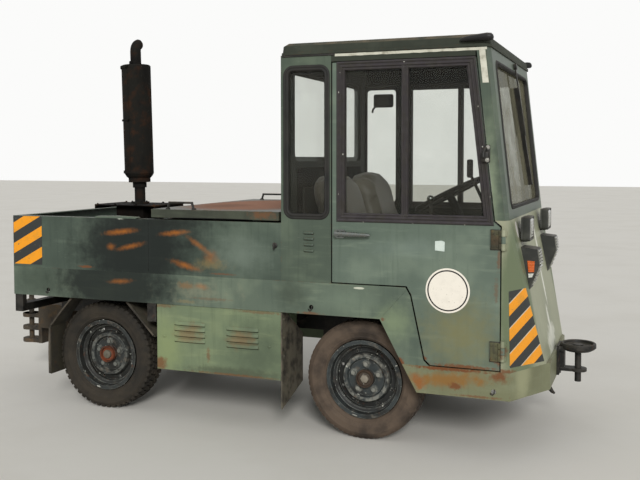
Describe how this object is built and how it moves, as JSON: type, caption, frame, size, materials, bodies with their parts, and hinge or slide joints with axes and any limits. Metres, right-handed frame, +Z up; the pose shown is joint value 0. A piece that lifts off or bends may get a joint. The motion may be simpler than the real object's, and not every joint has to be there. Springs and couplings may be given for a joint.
{
  "type": "baggage tug",
  "caption": "Diesel tow tractor with a boxy front cab, side doors, a flat engine deck with a hinged lid, an open rear well, an upright exhaust and towing couplings",
  "frame": {"origin": "middle of the length and width, on the ground under the tyres", "axes": "+X forward, +Y to the vehicle's left, +Z up"},
  "size_m": [3.4319, 1.268, 2.0352],
  "materials": {
    "olive_paint": "weathered semi-gloss",
    "pale_paint": "weathered satin",
    "black_paint": "dusty satin",
    "wheel_paint": "scratched satin",
    "rusty_steel": "heat-rusted",
    "engine_iron": "dusty",
    "tyre_rubber": "dusty",
    "glass_clear": "clear",
    "vinyl": "worn",
    "cab_plastic": "worn",
    "lamp_plastic": "dusty"
  },
  "bodies": {
    "chassis": {"chassis_frame": "black_paint", "sill_right": "olive_paint", "sill_left": "olive_paint", "deck_side_right": "olive_paint", "deck_side_left": "olive_paint", "rear_panel": "olive_paint", "well_floor": "olive_paint", "engine_block": "engine_iron", "cab_floor": "olive_paint", "cab_rear_wall": "olive_paint", "rear_window_panel": "olive_paint", "quarter_panel_right": "olive_paint", "quarter_panel_left": "olive_paint", "windscreen_frame": "olive_paint", "front_panel": "olive_paint", "front_skirt": "olive_paint", "roof": "olive_paint", "windscreen": "glass_clear", "rear_glass": "glass_clear", "quarter_glass": "glass_clear", "dashboard": "cab_plastic", "steering_wheel": "cab_plastic", "seat_frames": "black_paint", "seat_cushions": "vinyl", "seat_backs": "vinyl", "side_box_right": "pale_paint", "side_box_left": "pale_paint", "front_mudguards": "olive_paint", "rear_mudguards": "black_paint", "rear_axle": "black_paint", "front_axle": "black_paint", "exhaust_stack": "rusty_steel", "exhaust_tray": "rusty_steel", "front_coupling": "black_paint", "rear_coupling": "rusty_steel", "headlamps": "lamp_plastic", "turn_lamps": "lamp_plastic", "roof_lamps": "lamp_plastic", "wiper": "black_paint"},
    "lid": {"engine_lid": "olive_paint", "lid_handles": "black_paint"},
    "door_right": {"door_right": "olive_paint", "window_frame_right": "black_paint", "door_glass_right": "glass_clear"},
    "door_left": {"door_left": "olive_paint", "window_frame_left": "black_paint", "door_glass_left": "glass_clear"},
    "steer_right": {"knuckle_right": "black_paint"},
    "steer_left": {"knuckle_left": "black_paint"},
    "wheel_front_right": {"rim_front_right": "wheel_paint", "tyre_front_right": "tyre_rubber"},
    "wheel_front_left": {"rim_front_left": "wheel_paint", "tyre_front_left": "tyre_rubber"},
    "wheel_rear_right": {"rim_rear_right": "wheel_paint", "tyre_rear_right": "tyre_rubber"},
    "wheel_rear_left": {"rim_rear_left": "wheel_paint", "tyre_rear_left": "tyre_rubber"}
  },
  "joints": [
    {"name": "lid_hinge", "type": "hinge", "parent": "chassis", "child": "lid", "pos_m": [0.299, 0, 1.087], "axis": [0, 1, 0], "range_deg": [0, 65]},
    {"name": "door_right_hinge", "type": "hinge", "parent": "chassis", "child": "door_right", "pos_m": [1.363, -0.61, 0.74], "axis": [0, 0, 1], "range_deg": [0, 75]},
    {"name": "door_left_hinge", "type": "hinge", "parent": "chassis", "child": "door_left", "pos_m": [1.363, 0.61, 0.74], "axis": [0, 0, -1], "range_deg": [0, 75]},
    {"name": "kingpin_right", "type": "hinge", "parent": "chassis", "child": "steer_right", "pos_m": [0.692, -0.315, 0.285], "axis": [0, 0, 1], "range_deg": [-30, 30]},
    {"name": "kingpin_left", "type": "hinge", "parent": "chassis", "child": "steer_left", "pos_m": [0.692, 0.315, 0.285], "axis": [0, 0, 1], "range_deg": [-30, 30]},
    {"name": "front_right_wheel", "type": "hinge", "parent": "steer_right", "child": "wheel_front_right", "pos_m": [0.692, -0.44, 0.285], "axis": [0, 1, 0], "continuous": true},
    {"name": "rear_right_wheel", "type": "hinge", "parent": "chassis", "child": "wheel_rear_right", "pos_m": [-0.763, -0.44, 0.285], "axis": [0, 1, 0], "continuous": true},
    {"name": "front_left_wheel", "type": "hinge", "parent": "steer_left", "child": "wheel_front_left", "pos_m": [0.692, 0.44, 0.285], "axis": [0, 1, 0], "continuous": true},
    {"name": "rear_left_wheel", "type": "hinge", "parent": "chassis", "child": "wheel_rear_left", "pos_m": [-0.763, 0.44, 0.285], "axis": [0, 1, 0], "continuous": true}
  ],
  "couplings": [
    {"joint": "kingpin_left", "follows": "kingpin_right", "ratio": 1}
  ]
}
